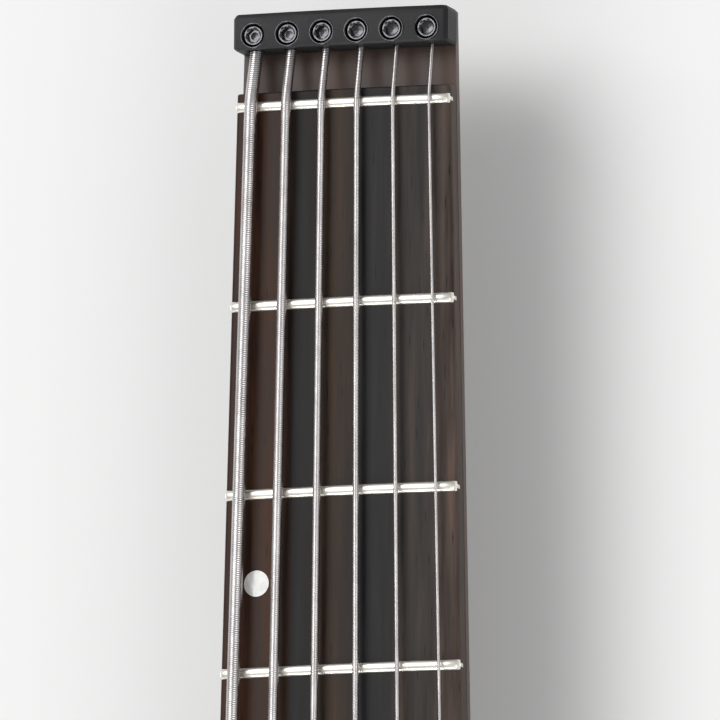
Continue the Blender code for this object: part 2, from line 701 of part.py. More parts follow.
def make_saddle(index, surface):
    """Sliding block whose rounded crest carries the string."""
    x = string_x(index, SCALE_LENGTH)
    middle = saddle_distance(index)
    half = CHANNEL_WIDTH / 2 - GAP
    bottom = PLATE_FLOOR + GAP
    crest = string_rest(index, middle) - GAP
    profile = [(-SADDLE_FRONT, bottom), (SADDLE_REAR, bottom), (SADDLE_REAR, bottom + 4 * MM),
               (2.4 * MM, crest - 1.6 * MM), (0.9 * MM, crest - 0.35 * MM), (-0.4 * MM, crest),
               (-2.0 * MM, crest - 0.35 * MM), (-SADDLE_FRONT, crest - 2.4 * MM)]
    rings = []
    for side in (-half, half):
        rings.append([(x + side, place(middle + along), height) for along, height in profile])
    return finish("saddle_" + STRING_NAMES[index], lofted(rings), (x, place(middle), bottom), surface)


def make_carriage(index, surface):
    """Block that holds the string's end and rides on the tuner's threaded rod."""
    axis = tuner_axis(index)
    front = place(SCALE_LENGTH + CARRIAGE_FRONT)
    half = CHANNEL_WIDTH / 2 - GAP
    bottom = PLATE_FLOOR + GAP
    top = bottom + CARRIAGE_HEIGHT
    edge = 1.0 * MM
    rings = []
    for height, inset in ((bottom, 0), (top - edge, 0), (top, edge)):
        rings.append([(axis.x - half + inset, front - CARRIAGE_LENGTH + inset, height),
                      (axis.x + half - inset, front - CARRIAGE_LENGTH + inset, height),
                      (axis.x + half - inset, front - inset, height),
                      (axis.x - half + inset, front - inset, height)])
    name = "carriage_" + STRING_NAMES[index]
    carriage = finish(name, lofted(rings), (axis.x, front - CARRIAGE_LENGTH / 2, axis.z), surface)
    bore_radius = STRING_DIAMETERS[index] / 2 + GAP
    bore = Vector((axis.x, front + MM, PLATE_FLOOR + STRING_BORE_HEIGHT))
    cut(carriage, name + "_bore", pin(bore, (0, -1, 0), STRING_BORE_DEPTH + MM, bore_radius, 12))
    mouth_radius = bore_radius + string_drop(index) * CARRIAGE_TRAVEL
    funnel = [(0, bore_radius - 0.1 * MM), (CARRIAGE_TRAVEL, mouth_radius),
              (CARRIAGE_TRAVEL + MM, mouth_radius)]
    start = bore - Vector((0, CARRIAGE_TRAVEL + MM, 0))
    cut(carriage, name + "_mouth", turned(funnel, start, (0, 1, 0), 12))
    rod = (axis.x, front + MM, axis.z)
    thread = pin(rod, (0, -1, 0), CARRIAGE_LENGTH + 2 * MM, TUNER_ROD_RADIUS + GAP, 12)
    cut(carriage, name + "_thread", thread)
    return carriage


def make_tuner(index, surface):
    """Thumb knob, collar and threaded rod in one turned piece."""
    axis = tuner_axis(index)
    rod_tip = place(SCALE_LENGTH + CARRIAGE_FRONT + 1.5 * MM)
    to_wall = rod_tip - axis.y
    knob = to_wall + GAP + TUNER_COLLAR_LENGTH
    edge = 0.8 * MM
    profile = [(0, TUNER_ROD_RADIUS - 0.4 * MM), (0.5 * MM, TUNER_ROD_RADIUS),
               (to_wall + GAP, TUNER_ROD_RADIUS), (to_wall + GAP, TUNER_COLLAR_RADIUS),
               (knob, TUNER_COLLAR_RADIUS), (knob, TUNER_KNOB_RADIUS - edge),
               (knob + edge, TUNER_KNOB_RADIUS), (knob + TUNER_KNOB_LENGTH - edge, TUNER_KNOB_RADIUS),
               (knob + TUNER_KNOB_LENGTH, TUNER_KNOB_RADIUS - edge)]
    work = turned(profile, (axis.x, rod_tip, axis.z), (0, -1, 0), 14)
    return finish("tuner_" + STRING_NAMES[index], work, axis, surface)


def make_pot(name, x, distance, surface):
    """Potentiometer housing and bushing, hung under the top."""
    ceiling = BODY_TOP - TOP_WOOD - GAP
    rise = ceiling + GAP + TOP_WOOD + BUSHING_RISE
    bottom = ceiling - POT_HEIGHT
    profile = [(0, POT_RADIUS), (POT_HEIGHT, POT_RADIUS), (POT_HEIGHT, BUSHING_RADIUS),
               (rise - bottom, BUSHING_RADIUS)]
    pot = finish(name + "_pot", turned(profile, (x, place(distance), bottom), (0, 0, 1), 18),
                 (x, place(distance), ceiling), surface)
    shaft_end = ceiling - 2 * MM
    cut(pot, name + "_pot_bore", pin((x, place(distance), shaft_end), (0, 0, 1), rise - shaft_end + MM,
                                     SHAFT_RADIUS + GAP, 14))
    return pot


def make_knob(name, x, distance, surface):
    """Control knob with the shaft it turns."""
    skirt = BODY_TOP + BUSHING_RISE + GAP
    shaft_foot = BODY_TOP - TOP_WOOD - 2 * MM
    base = skirt - shaft_foot
    profile = [(0, SHAFT_RADIUS), (base, SHAFT_RADIUS), (base, KNOB_RADIUS),
               (base + 0.8 * KNOB_HEIGHT, KNOB_RADIUS * 0.95),
               (base + 0.95 * KNOB_HEIGHT, KNOB_RADIUS * 0.87), (base + KNOB_HEIGHT, KNOB_RADIUS * 0.72)]
    return finish(name + "_knob", turned(profile, (x, place(distance), shaft_foot), (0, 0, 1), 24),
                  (x, place(distance), skirt), surface)


def lever_pivot():
    distance = SCALE_LENGTH + SWITCH_OFFSET
    return Vector((SWITCH_X, place(distance), BODY_TOP + SWITCH_BUSHING_RISE - LEVER_PIVOT_DEPTH))


def make_switch(surface):
    """Mini toggle housing under the top, with its bushing through it."""
    ceiling = BODY_TOP - TOP_WOOD - GAP
    y = place(SCALE_LENGTH + SWITCH_OFFSET)
    wide, long, high = SWITCH_BODY
    switch = finish("switch_housing", block((SWITCH_X - wide / 2, y - long / 2, ceiling - high),
                                            (SWITCH_X + wide / 2, y + long / 2, ceiling)),
                    (SWITCH_X, y, ceiling), surface, smooth=False)
    stem = finish("guide_switch_bushing", pin((SWITCH_X, y, ceiling - MM), (0, 0, 1),
                                              GAP + TOP_WOOD + SWITCH_BUSHING_RISE + MM, SWITCH_BUSHING_RADIUS),
                  (0, 0, 0), None)
    stem.hide_render = True
    stem.display_type = "WIRE"
    union = switch.modifiers.new("bushing", "BOOLEAN")
    union.operation = "UNION"
    union.solver = "EXACT"
    union.object = stem
    pivot = lever_pivot()
    ball = LEVER_BALL_RADIUS + GAP
    rim = BODY_TOP + SWITCH_BUSHING_RISE - pivot.z
    bore = [(0, ball), (2 * ball, ball), (2 * ball + rim + MM, ball + 1.0 * MM)]
    cut(switch, "lever_bore", turned(bore, pivot - Vector((0, 0, 2 * ball)), (0, 0, 1), 16))
    return switch


def make_lever(surface):
    pivot = lever_pivot()
    ball = LEVER_BALL_RADIUS
    profile = [(-0.9 * ball, 0.45 * ball), (0, ball), (0.9 * ball, LEVER_ROOT_RADIUS),
               (LEVER_LENGTH * 0.85, LEVER_TIP_RADIUS), (LEVER_LENGTH, LEVER_TIP_RADIUS * 0.6)]
    return finish("switch_lever", turned(profile, pivot, (0, 0, 1), 12), pivot, surface)


def make_neck_bolt(name, x, distance, surface):
    head_top = 2 * GAP
    length = HEEL_BOTTOM + BOLT_IN_NECK
    profile = [(0, BOLT_HEAD_RADIUS - 0.8 * MM), (0.8 * MM, BOLT_HEAD_RADIUS),
               (BOLT_HEAD_HEIGHT, BOLT_HEAD_RADIUS), (BOLT_HEAD_HEIGHT, BOLT_RADIUS),
               (length - 1.0 * MM, BOLT_RADIUS), (length, BOLT_RADIUS - 0.8 * MM)]
    profile = [(along + head_top - GAP, radius) for along, radius in profile]
    foot = (x, place(distance), 0)
    return finish(name, turned(profile, foot, (0, 0, 1), 12), foot, surface)


def make_truss_rod(surface):
    half = ROD_WIDTH / 2
    low = (-half, place(NECK_END), ROD_AXIS - ROD_HEIGHT / 2)
    high = (half, place(ROD_HEAD_STOP + GAP), ROD_AXIS + ROD_HEIGHT / 2)
    rod = finish("truss_rod", block(low, high), (0, place(NECK_END), ROD_AXIS), surface, smooth=False)
    cut(rod, "wheel_pin_hole", pin((0, place(NECK_END + MM), ROD_AXIS), (0, 1, 0),
                                   WHEEL_PIN_LENGTH + MM + 2 * GAP, WHEEL_PIN_RADIUS + GAP, 12))
    return rod


def make_truss_wheel(surface):
    """Spoke wheel behind the neck's end that tightens the rod."""
    start = (0, place(NECK_END - WHEEL_PIN_LENGTH), ROD_AXIS)
    face = WHEEL_PIN_LENGTH + 2 * GAP
    profile = [(0, WHEEL_PIN_RADIUS), (face, WHEEL_PIN_RADIUS), (face, WHEEL_RADIUS - 0.6 * MM),
               (face + 0.6 * MM, WHEEL_RADIUS), (face + WHEEL_LENGTH - 0.6 * MM, WHEEL_RADIUS),
               (face + WHEEL_LENGTH, WHEEL_RADIUS - 0.6 * MM)]
    work = turned(profile, start, (0, -1, 0), 20)
    wheel = finish("truss_wheel", work, (0, place(NECK_END), ROD_AXIS), surface)
    middle = place(NECK_END + 2 * GAP + WHEEL_LENGTH / 2)
    for number in range(5):
        angle = math.radians(90 + 72 * number)
        outward = Vector((math.cos(angle), 0, math.sin(angle)))
        start = Vector((0, middle, ROD_AXIS)) + outward * 2.6 * MM
        cut(wheel, "spoke_hole_%d" % number, pin(start, outward, 5 * MM, WHEEL_HOLE_RADIUS, 8))
    return wheel


def edge_seat(aim_x, aim_distance):
    """Nearest outline point to a place, with the outline's outward direction there."""
    outline = body_outline()
    normals = outline_normals(outline)
    aim = Vector((aim_x, place(aim_distance)))
    nearest = min(range(len(outline)), key=lambda index: (outline[index] - aim).length)
    middle = BODY_THICKNESS / 2
    spot = Vector((outline[nearest].x, outline[nearest].y, middle))
    return spot, Vector((normals[nearest].x, normals[nearest].y, 0))


def make_strap_button(name, spot, outward, body, surface):
    """Button on a flat seat, with its wood screw."""
    seat = spot - outward * BUTTON_SINK
    cut(body, name + "_seat", pin(seat, outward, 15 * MM, BUTTON_RADIUS + 1.0 * MM, 20))
    deep = BUTTON_SCREW_LENGTH + MM
    hole = pin(seat - outward * deep, outward, deep + 2 * MM, BUTTON_SCREW_RADIUS + GAP, 10)
    cut(body, name + "_hole", hole)
    root = BUTTON_SCREW_LENGTH
    profile = [(0, 0.5 * BUTTON_SCREW_RADIUS), (3 * MM, BUTTON_SCREW_RADIUS), (root, BUTTON_SCREW_RADIUS),
               (root, BUTTON_RADIUS - MM), (root + 2 * MM, BUTTON_RADIUS - MM), (root + 4 * MM, BUTTON_WAIST),
               (root + 7 * MM, BUTTON_WAIST), (root + 9 * MM, BUTTON_RADIUS),
               (root + BUTTON_LENGTH - GAP - 0.8 * MM, BUTTON_RADIUS),
               (root + BUTTON_LENGTH - GAP, BUTTON_RADIUS - MM)]
    start = seat + outward * (GAP - root)
    return finish(name, turned(profile, start, outward, 14), seat, surface)


def make_jack(body, surface):
    """Barrel socket through the body's edge into the control cavity."""
    spot, outward = edge_seat(152 * MM, SCALE_LENGTH + 54 * MM)
    seat = spot - outward * 1.5 * MM
    cut(body, "jack_seat", pin(seat, outward, 12 * MM, JACK_FLANGE_RADIUS + 1.0 * MM, 20))
    cut(body, "jack_bore", pin(seat - outward * (JACK_LENGTH + 4 * MM), outward, JACK_LENGTH + 6 * MM,
                               JACK_RADIUS + GAP, 18))
    profile = [(0, JACK_RADIUS), (JACK_LENGTH, JACK_RADIUS), (JACK_LENGTH, JACK_FLANGE_RADIUS),
               (JACK_LENGTH + JACK_FLANGE - 0.6 * MM, JACK_FLANGE_RADIUS),
               (JACK_LENGTH + JACK_FLANGE, JACK_FLANGE_RADIUS - 0.8 * MM)]
    start = seat + outward * (GAP - JACK_LENGTH)
    jack = finish("output_jack", turned(profile, start, outward, 20), seat, surface)
    mouth = seat + outward * (GAP + JACK_FLANGE)
    cut(jack, "jack_socket", pin(mouth - outward * JACK_SOCKET_DEPTH, outward, JACK_SOCKET_DEPTH + 2 * MM,
                                 JACK_SOCKET_RADIUS, 14))
    return jack


def build():
    clear_scene()
    lacquer = material("body_lacquer", (0.025, 0.025, 0.028), 0.35)
    neck_wood = material("neck_wood", (0.09, 0.05, 0.035), 0.5)
    board_wood = material("board_wood", (0.07, 0.045, 0.038), 0.45)
    fret_wire = material("fret_wire", (0.86, 0.84, 0.79), 0.25, 1.0)
    black_metal = material("black_metal", (0.035, 0.035, 0.037), 0.4, 0.6)
    bright_steel = material("bright_steel", (0.62, 0.62, 0.63), 0.3, 1.0)
    string_wire = material("string_wire", (0.66, 0.63, 0.63), 0.32, 1.0)
    black_plastic = material("black_plastic", (0.03, 0.03, 0.032), 0.5)
    body = make_body(lacquer)
    make_neck(neck_wood)
    make_fretboard(board_wood)
    make_zero_fret(fret_wire)
    make_headpiece(black_metal)
    make_bridge_plate(black_metal)
    for index in range(len(STRING_NAMES)):
        make_clamp_screw(index, bright_steel)
        make_string(index, string_wire)
        make_saddle(index, black_metal)
        make_carriage(index, black_metal)
        make_tuner(index, black_metal)
    for name, distance in pickup_places():
        make_pickup(name, distance, black_plastic)
    for name, x, distance in control_places():
        make_pot(name, x, distance, bright_steel)
        make_knob(name, x, distance, black_metal)
    make_switch(bright_steel)
    make_lever(bright_steel)
    make_cover(black_plastic)
    make_truss_rod(bright_steel)
    make_truss_wheel(bright_steel)
    for name, x, distance in neck_bolt_places():
        make_neck_bolt(name, x, distance, bright_steel)
    horn_spot, horn_out = edge_seat(-102 * MM, NECK_END - 186 * MM)
    make_strap_button("horn_strap_button", horn_spot, horn_out, body, black_metal)
    tail_spot = Vector((TAIL_BUTTON_X, place(TAIL_LINE), BODY_THICKNESS / 2))
    make_strap_button("tail_strap_button", tail_spot, Vector((0, -1, 0)), body, black_metal)
    make_jack(body, black_metal)


build()
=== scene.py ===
# Headless six-string bass guitar on a pale studio floor, seen from above its head end.
import json
import math

import bmesh
import bpy
from mathutils import Matrix, Vector


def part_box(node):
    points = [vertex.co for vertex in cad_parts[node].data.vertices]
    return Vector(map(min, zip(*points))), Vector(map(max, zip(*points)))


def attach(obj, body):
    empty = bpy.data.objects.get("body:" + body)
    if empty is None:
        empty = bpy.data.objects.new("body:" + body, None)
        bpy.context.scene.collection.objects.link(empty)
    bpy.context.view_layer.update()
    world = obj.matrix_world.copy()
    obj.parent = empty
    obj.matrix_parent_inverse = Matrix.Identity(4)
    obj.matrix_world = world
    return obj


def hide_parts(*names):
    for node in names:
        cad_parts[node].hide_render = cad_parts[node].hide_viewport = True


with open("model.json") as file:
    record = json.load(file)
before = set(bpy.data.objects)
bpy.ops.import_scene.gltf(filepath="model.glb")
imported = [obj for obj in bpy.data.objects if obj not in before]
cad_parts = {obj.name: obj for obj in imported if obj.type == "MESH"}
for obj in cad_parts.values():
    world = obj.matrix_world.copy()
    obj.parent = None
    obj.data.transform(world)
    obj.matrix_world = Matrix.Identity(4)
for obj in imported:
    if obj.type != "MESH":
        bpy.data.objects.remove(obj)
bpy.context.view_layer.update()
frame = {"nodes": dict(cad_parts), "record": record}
nodes = frame["nodes"]
bodies = frame["record"]["behaviour"]["bodies"]
body_of_node = {node: body for body, members in bodies.items() for node in members}
slot_of_node = {entry["node"]: entry["material_slot"] for entry in frame["record"]["subparts"]}

# Sizes, in metres
MM = 0.001
STRING_NAMES = ("b", "e", "a", "d", "g", "c")
STRING_DIAMETERS = [d * MM for d in (3.3, 2.54, 2.03, 1.65, 1.14, 0.81)]
WRAP_PITCHES = [p * MM for p in (0.52, 0.46, 0.42, 0.36, 0.3, 0.25)]
SCALE_LENGTH = 863.6 * MM
FRET_COUNT = 24
FRET_WIDTH = 2.6 * MM
FRET_HEIGHT = 1.1 * MM
FRET_END_GAP = 0.04 * MM
FRET_END_SLOPE = 0.75 * MM
FRET_SINK = 0.1 * MM
TANG_SIZE = (0.9 * MM, 0.9 * MM, 1.9 * MM)
TANG_INSET = 0.4 * MM
ZERO_FRET_WIDTH = 2.5 * MM
ZERO_FRET_LIFT = 0.1 * MM
BOARD_RADIUS = 374.0 * MM
BOARD_THICKNESS = 6.0 * MM
NUT_WIDTH = 54.0 * MM
LAST_WIDTH = 84.0 * MM
EDGE_ROLL = 1.1 * MM
EDGE_ROLL_REACH = 0.8
GAP = 0.3 * MM
NUT_SPACING = 8.9 * MM
BRIDGE_SPACING = 17.3 * MM
MIDDLE_STRING = 2.5
ACTION = 4.0 * MM
BOARD_NUT_END = 3.4 * MM
BOARD_BODY_END = 10.0 * MM
HEADPIECE_NEAR = 13.6 * MM
STRING_EXIT = -2.2 * MM
STRING_FLOOR = -4.6 * MM
STRING_TAIL_IN = 6.6 * MM
STRING_DIP = 2.2 * MM
STRING_BEND = 1.0 * MM
SADDLE_SETBACK = 1.0 * MM
SADDLE_GAUGE_SHARE = 1.2
WRAP_DEPTH = 0.16  # share of the pitch
CARRIAGE_FRONT = 20.0 * MM
STRING_BORE_HEIGHT = 8.5 * MM
STRING_IN_CARRIAGE = 10.5 * MM
PLATE_REAR = 58.0 * MM
PLATE_THICKNESS = 4.0 * MM
CLAMP_SINK = 0.4 * MM
TUNER_HEIGHT = 3.5 * MM
TUNER_TIP_GAP = 1.5 * MM
TUNER_PITCH = 0.8 * MM
TUNER_KNOB_RADIUS = 6.4 * MM
TUNER_KNOB_LENGTH = 14.0 * MM
KNOB_HEIGHT = 14.0 * MM
SHAFT_RADIUS = 2.6 * MM
PLATE_SCREW_RADIUS = 2.5 * MM
PLATE_SCREW_PLACE = 12.2 * MM
HEIGHT_SCREW_RADIUS = 1.4 * MM
HEIGHT_SCREW_PLACE = 3.2 * MM
HEIGHT_SCREW_ASIDE = 4.4 * MM
HEIGHT_SCREW_DROP = 0.9 * MM
BALL_CLAMP_RADIUS = 2.4 * MM
BALL_CLAMP_PLACE = 13.0 * MM
PICKUP_SCREW_RADIUS = 2.2 * MM
PICKUP_SCREW_INSET = 6.0 * MM
COVER_SCREW_RADIUS = 2.0 * MM
COVER_SCREW_INSET = 5.0 * MM
INLAY_FRETS = (3, 5, 7, 9, 12, 15, 17, 19, 21, 24)
DOUBLE_INLAYS = (12, 24)
DOUBLE_DOT_SHIFT = 6.5 * MM
DOT_RADIUS = 3.175 * MM
DOT_DEPTH = 0.5 * MM
DOT_PROUD = 0.025 * MM
DOT_PLACE = -2.1  # string spacings from the centre line
SIDE_DOT_RADIUS = 1.1 * MM
SIDE_DOT_LENGTH = 0.6 * MM
SIDE_DOT_INSET = 0.27 * MM
SIDE_DOT_DROP = 2.4 * MM
UP = (0, 0, 1)
SIDES = ((-1, "bass"), (1, "treble"))

# Fineness of the finished pieces, angles in degrees
TURNED_SIDES = 48
KNOB_SIDES = 72
STRING_SIDES = 10
DOT_SIDES = 40
BOARD_ROWS = 40
BOARD_STEPS = 28
ROLL_STEPS = 5
FRET_STEPS = 24
FRET_ARC_STEPS = 10
SMOOTH_ANGLE = 35
FRET_SMOOTH_ANGLE = 50
STRING_SMOOTH_ANGLE = 60
CREASE_ANGLE = 40
BEVEL_ANGLE = 38
BEVEL_SEGMENTS = 2
PANEL_ROUNDING = 0.25 * MM
SADDLE_ROUNDING = 0.3 * MM
LEVEL = 0.9999  # least upward share of a level face's normal
MERGE_DISTANCE = 0.000004

# Places read from the frame
zero_low, zero_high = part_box("zero_fret")
NUT_Y = (zero_low.y + zero_high.y) / 2
BOARD_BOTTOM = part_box("fretboard")[0].z
BOARD_TOP = BOARD_BOTTOM - GAP + BOARD_THICKNESS
PLATE_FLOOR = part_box("saddle_b")[0].z - GAP


def place(distance):
    """World Y of a distance from the zero fret towards the body."""
    return NUT_Y - distance


def fret_distance(number):
    """Distance of a fret from the zero fret."""
    return SCALE_LENGTH * (1 - 2 ** (-number / 12))


LAST_FRET = fret_distance(FRET_COUNT)


def board_width(distance):
    """Width of the board at a distance from the zero fret."""
    return NUT_WIDTH + (LAST_WIDTH - NUT_WIDTH) * distance / LAST_FRET


def crown(x):
    """Fall of the arched top of the board at a distance from its middle."""
    return x * x / (2 * BOARD_RADIUS)


# Materials

class Finish:
    """A node material with short helpers for its textures."""

    def __init__(self, name, color, roughness, metallic=0.0):
        self.material = bpy.data.materials.new(name)
        self.material.use_nodes = True
        self.tree = self.material.node_tree
        self.shader = self.tree.nodes["Principled BSDF"]
        self.shader.inputs["Base Color"].default_value = (*color, 1)
        self.shader.inputs["Roughness"].default_value = roughness
        self.shader.inputs["Metallic"].default_value = metallic
        self.place = self.tree.nodes.new("ShaderNodeTexCoord").outputs["Object"]

    def node(self, kind, **values):
        result = self.tree.nodes.new("ShaderNode" + kind)
        for key, value in values.items():
            setattr(result, key, value)
        return result

    def link(self, start, end):
        self.tree.links.new(start, end)

    def mapped(self, scale):
        mapping = self.node("Mapping")
        mapping.inputs["Scale"].default_value = scale
        self.link(self.place, mapping.inputs["Vector"])
        return mapping.outputs["Vector"]

    def noise(self, scale, detail=3.0, roughness=0.55, stretch=(1, 1, 1)):
        texture = self.node("TexNoise")
        texture.inputs["Scale"].default_value = scale
        texture.inputs["Detail"].default_value = detail
        texture.inputs["Roughness"].default_value = roughness
        self.link(self.mapped(stretch), texture.inputs["Vector"])
        return texture.outputs["Fac"]

    def ramp(self, value, stops):
        ramp = self.node("ValToRGB")
        elements = ramp.color_ramp.elements
        while len(elements) < len(stops):
            elements.new(0.5)
        for element, (position, color) in zip(elements, stops):
            element.position = position
            element.color = (*color, 1)
        self.link(value, ramp.inputs["Fac"])
        return ramp.outputs["Color"]

    def mix(self, factor, first, second, blend="MIX"):
        mix = self.node("Mix", data_type="RGBA", blend_type=blend)
        for socket, value in ((mix.inputs[0], factor), (mix.inputs[6], first), (mix.inputs[7], second)):
            if isinstance(value, (int, float)):
                socket.default_value = value
            elif isinstance(value, tuple):
                socket.default_value = (*value, 1)
            else:
                self.link(value, socket)
        return mix.outputs[2]

    def spread(self, value, low, high, to_low, to_high):
        mapping = self.node("MapRange")
        mapping.inputs["From Min"].default_value = low
        mapping.inputs["From Max"].default_value = high
        mapping.inputs["To Min"].default_value = to_low
        mapping.inputs["To Max"].default_value = to_high
        self.link(value, mapping.inputs["Value"])
        return mapping.outputs["Result"]

    def color(self, value):
        self.link(value, self.shader.inputs["Base Color"])

    def roughness(self, value):
        self.link(value, self.shader.inputs["Roughness"])

    def bump(self, value, strength, depth):
        bump = self.node("Bump")
        bump.inputs["Strength"].default_value = strength
        bump.inputs["Distance"].default_value = depth
        self.link(value, bump.inputs["Height"])
        self.link(bump.outputs["Normal"], self.shader.inputs["Normal"])


def satin_black_metal():
    """Anodised and bead-blasted black metal with a soft grain."""
    finish = Finish("satin_black_metal", (0.022, 0.022, 0.023), 0.45)
    grain = finish.noise(2600, 2)
    finish.color(finish.ramp(finish.noise(60), [(0.3, (0.018, 0.018, 0.019)), (0.7, (0.026, 0.026, 0.027))]))
    finish.roughness(finish.spread(grain, 0.3, 0.7, 0.38, 0.54))
    finish.bump(grain, 0.25, 0.00004)
    finish.shader.inputs["Specular IOR Level"].default_value = 0.16
    return finish.material


def bright_steel():
    finish = Finish("bright_steel", (0.62, 0.62, 0.63), 0.24, 1.0)
    scratches = finish.noise(900, 4, 0.6, (1, 1, 0.12))
    finish.roughness(finish.spread(scratches, 0.3, 0.7, 0.18, 0.34))
    finish.bump(scratches, 0.12, 0.00003)
    return finish.material


def dark_steel():
    """Blackened hardened steel of the clamp screws and the small screws."""
    finish = Finish("dark_steel", (0.09, 0.09, 0.095), 0.22, 1.0)
    finish.roughness(finish.spread(finish.noise(1500), 0.3, 0.7, 0.16, 0.32))
    return finish.material


def fret_nickel():
    """Polished fret wire with fine marks from levelling along the wire."""
    finish = Finish("fret_nickel", (0.9, 0.87, 0.79), 0.36, 1.0)
    marks = finish.noise(1400, 4, 0.6, (0.05, 1, 1))
    finish.roughness(finish.spread(marks, 0.3, 0.7, 0.3, 0.46))
    finish.bump(marks, 0.1, 0.00003)
    return finish.material


def wound_wire(name, pitch):
    """Round-wound wire: dark grooves between turns, with slight tarnish."""
    finish = Finish(name, (0.64, 0.61, 0.6), 0.3, 1.0)
    tarnish = finish.noise(120, 4)
    finish.color(finish.ramp(tarnish, [(0.3, (0.52, 0.49, 0.485)), (0.7, (0.72, 0.69, 0.68))]))
    wave = finish.node("TexWave", wave_type="BANDS", bands_direction="Y", wave_profile="SIN")
    wave.inputs["Scale"].default_value = 2 * math.pi / pitch / 20
    finish.link(finish.mapped((1, 1, 1)), wave.inputs["Vector"])
    finish.bump(wave.outputs["Fac"], 0.6, pitch * 0.2)
    return finish.material


def board_wood():
    """Dark streaked board wood: bands of brown and blue-grey along the neck, with short open pores."""
    finish = Finish("board_wood", (0.07, 0.05, 0.045), 0.42)
    split = finish.node("SeparateXYZ")
    finish.link(finish.place, split.inputs["Vector"])
    wander = finish.noise(9, 2, 0.5, (1, 0.35, 1))
    offset = finish.spread(wander, 0.2, 0.8, -0.0035, 0.0035)
    across = finish.node("Math", operation="ADD")
    finish.link(split.outputs["X"], across.inputs[0])
    finish.link(offset, across.inputs[1])
    share = finish.spread(across.outputs[0], -0.029, 0.029, 0.0, 1.0)
    bands = finish.ramp(share, [
        (0.0, (0.040, 0.016, 0.010)), (0.2, (0.040, 0.019, 0.011)), (0.27, (0.034, 0.017, 0.010)),
        (0.33, (0.011, 0.010, 0.010)), (0.41, (0.012, 0.010, 0.009)), (0.47, (0.036, 0.022, 0.014)),
        (0.56, (0.026, 0.018, 0.013)), (0.62, (0.016, 0.016, 0.017)), (0.72, (0.017, 0.016, 0.016)),
        (0.79, (0.034, 0.027, 0.023)), (0.88, (0.030, 0.026, 0.023)), (1.0, (0.064, 0.046, 0.038))])
    fine = finish.noise(420, 5, 0.62, (1, 0.05, 1))
    streaks = finish.ramp(fine, [(0.3, (0.42, 0.4, 0.42)), (0.5, (1, 1, 1)), (0.72, (1.9, 1.7, 1.6))])
    toned = finish.mix(1.0, bands, streaks, "MULTIPLY")
    pores = finish.node("TexVoronoi", feature="F1")
    pores.inputs["Scale"].default_value = 1000
    finish.link(finish.mapped((1, 0.09, 1)), pores.inputs["Vector"])
    pore = finish.ramp(pores.outputs["Distance"], [(0.05, (1, 1, 1)), (0.2, (0, 0, 0))])
    finish.color(finish.mix(pore, toned, (0.010, 0.008, 0.008)))
    finish.roughness(finish.spread(fine, 0.3, 0.7, 0.34, 0.55))
    finish.bump(fine, 0.25, 0.00008)
    finish.shader.inputs["Specular IOR Level"].default_value = 0.15
    return finish.material


def neck_wood():
    finish = Finish("neck_wood", (0.075, 0.042, 0.03), 0.5)
    grain = finish.noise(260, 5, 0.6, (1, 0.04, 1))
    lines = finish.noise(60, 3, 0.5, (1, 0.03, 1))
    dark = finish.ramp(lines, [(0.35, (0.045, 0.024, 0.018)), (0.65, (0.1, 0.058, 0.04))])
    fine = finish.ramp(grain, [(0.3, (0.6, 0.6, 0.6)), (0.7, (1.25, 1.2, 1.15))])
    finish.color(finish.mix(1.0, dark, fine, "MULTIPLY"))
    finish.roughness(finish.spread(grain, 0.3, 0.7, 0.42, 0.6))
    finish.bump(grain, 0.2, 0.00008)
    return finish.material


def pearl():
    """Mother-of-pearl: pale grey with soft pink and green clouds."""
    finish = Finish("pearl", (0.7, 0.7, 0.68), 0.22)
    clouds = finish.noise(320, 3, 0.5, (1, 0.6, 1))
    finish.color(finish.ramp(clouds, [(0.32, (0.46, 0.49, 0.48)), (0.45, (0.66, 0.65, 0.62)),
                                      (0.56, (0.6, 0.63, 0.6)), (0.7, (0.8, 0.76, 0.74))]))
    finish.shader.inputs["Coat Weight"].default_value = 0.6
    return finish.material


def body_lacquer():
    """Open-pored ash under satin black stain."""
    finish = Finish("body_lacquer", (0.02, 0.02, 0.022), 0.36)
    grain = finish.noise(150, 6, 0.65, (1, 0.06, 0.4))
    rings = finish.noise(26, 3, 0.5, (1, 0.12, 0.5))
    both = finish.mix(0.5, grain, rings)
    finish.color(finish.ramp(both, [(0.4, (0.010, 0.010, 0.011)), (0.6, (0.032, 0.031, 0.032))]))
    finish.roughness(finish.spread(grain, 0.3, 0.7, 0.28, 0.46))
    finish.bump(grain, 0.35, 0.00015)
    finish.shader.inputs["Coat Weight"].default_value = 0.1
    finish.shader.inputs["Coat Roughness"].default_value = 0.25
    finish.shader.inputs["Specular IOR Level"].default_value = 0.25
    return finish.material


def black_plastic():
    finish = Finish("black_plastic", (0.022, 0.022, 0.023), 0.5)
    grain = finish.noise(1800, 3)
    finish.roughness(finish.spread(grain, 0.3, 0.7, 0.42, 0.6))
    finish.bump(grain, 0.2, 0.00005)
    return finish.material


surfaces = {
    "body_lacquer": body_lacquer(), "neck_wood": neck_wood(), "board_wood": board_wood(),
    "fret_wire": fret_nickel(), "black_metal": satin_black_metal(), "bright_steel": bright_steel(),
    "black_plastic": black_plastic(), "string_wire": wound_wire("wound_wire", WRAP_PITCHES[0]),
}
screw_steel = dark_steel()
pearl_inlay = pearl()


# Pieces

def add_piece(name, mesh, surface, body, replaced, smooth=SMOOTH_ANGLE):
    """A finished piece of the mesh, on its body and in place of the nodes that it replaces."""
    piece = bpy.data.objects.new(name, mesh)
    bpy.context.scene.collection.objects.link(piece)
    mesh.materials.clear()
    mesh.materials.append(surface)
    bpy.ops.object.select_all(action="DESELECT")
    piece.select_set(True)
    bpy.context.view_layer.objects.active = piece
    bpy.ops.object.shade_smooth_by_angle(angle=math.radians(smooth))
    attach(piece, body)
    if replaced:
        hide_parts(*replaced)
    return piece


